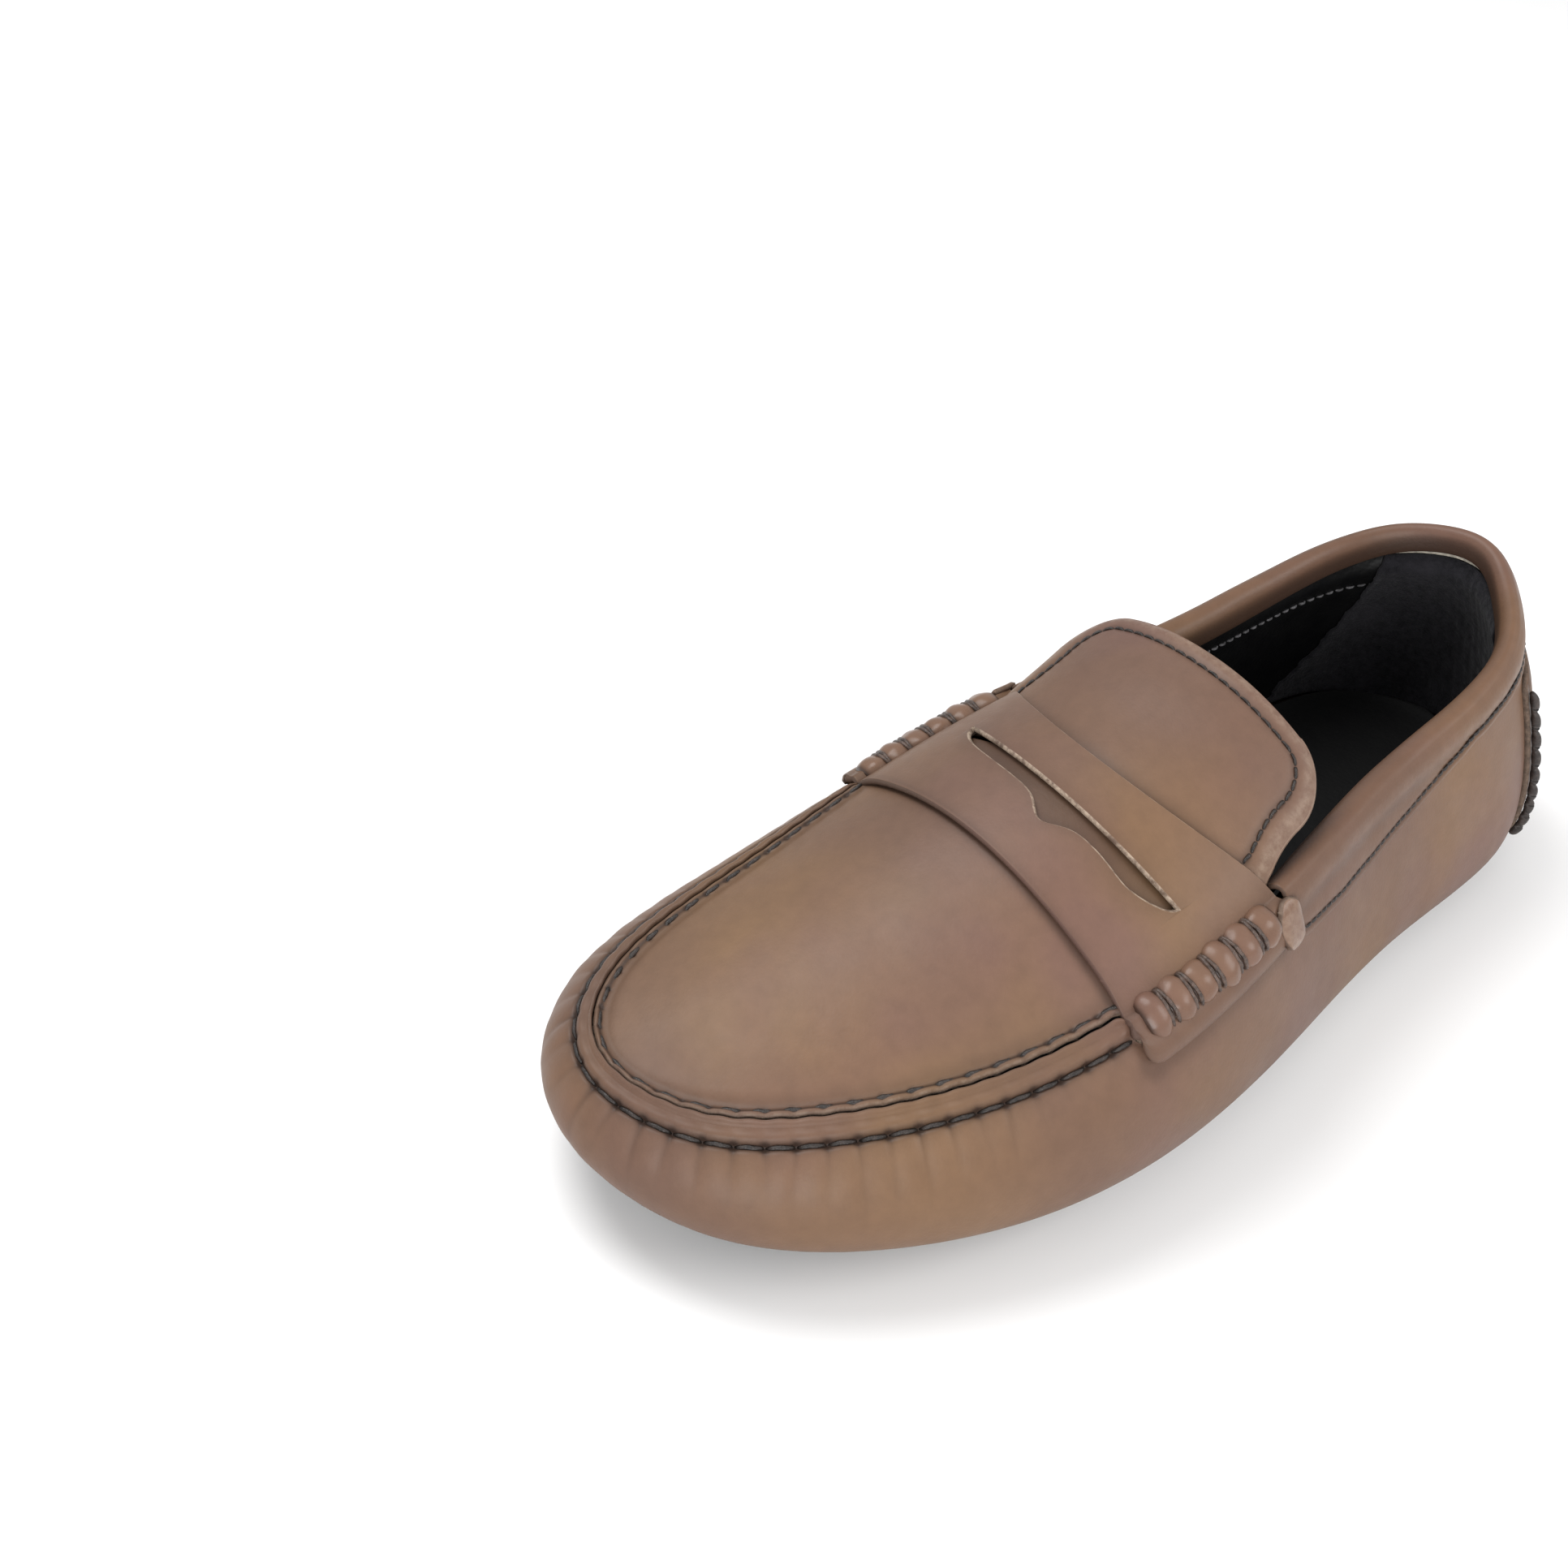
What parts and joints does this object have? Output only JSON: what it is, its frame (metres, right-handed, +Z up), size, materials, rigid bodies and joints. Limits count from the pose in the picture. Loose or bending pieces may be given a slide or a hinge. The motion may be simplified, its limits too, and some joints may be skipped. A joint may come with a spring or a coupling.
{
  "type": "driving moccasin",
  "caption": "Left slip-on driving moccasin: moc-toe leather upper with saddle strap, rolled side seams, padded collar and a studded rubber sole, hinged at the ball and the tongue.",
  "frame": {"origin": "on the ground under the centre of the heel seat, on the foot of the middle heel pod", "axes": "+X from heel to toe, +Y towards the outer side of the left foot, +Z up"},
  "size_m": [0.2908, 0.1028, 0.0789],
  "materials": {
    "brown_leather": "semi-matte burnished",
    "collar_leather": "semi-matte burnished",
    "black_leather": "matte",
    "suede": "napped",
    "dark_thread": "waxed",
    "grey_thread": "plain",
    "foam": "open cell",
    "fibre_board": "plain",
    "stiffener": "plain",
    "rubber": "moulded"
  },
  "bodies": {
    "upper": {"quarters": "brown_leather", "saddle_strap": "brown_leather", "beef_roll_lateral": "brown_leather", "beef_roll_medial": "brown_leather", "roll_thread_lateral": "dark_thread", "roll_thread_medial": "dark_thread", "collar": "collar_leather", "collar_foam": "foam", "collar_thread": "dark_thread", "heel_patch": "brown_leather", "heel_patch_thread": "dark_thread", "heel_counter": "stiffener", "heel_grip": "suede", "quarter_lining": "black_leather", "lining_thread": "grey_thread", "insole_board": "fibre_board", "insole_foam": "foam", "sock_liner": "black_leather", "ball_pods": "rubber", "heel_pods": "rubber"},
    "toe": {"vamp": "brown_leather", "apron_plug": "brown_leather", "seam_thread_outer": "dark_thread", "seam_thread_inner": "dark_thread", "toe_lining": "black_leather", "toe_bumper": "rubber", "toe_pods": "rubber"},
    "tongue": {"tongue": "brown_leather", "tongue_lining": "black_leather", "tongue_thread": "dark_thread"}
  },
  "joints": [
    {"name": "toe_flex", "type": "hinge", "parent": "upper", "child": "toe", "pos_m": [0.16, 0, 0.005], "axis": [0, -1, 0], "range_deg": [0, 40], "stiffness_Nm_per_rad": 1.2, "deforming": ["vamp", "apron_plug", "seam_thread_outer", "seam_thread_inner", "toe_lining", "insole_foam", "sock_liner"]},
    {"name": "tongue_lift", "type": "hinge", "parent": "upper", "child": "tongue", "pos_m": [0.103, 0.004, 0.0715], "axis": [0, 1, 0], "range_deg": [0, 45], "stiffness_Nm_per_rad": 0.15}
  ]
}
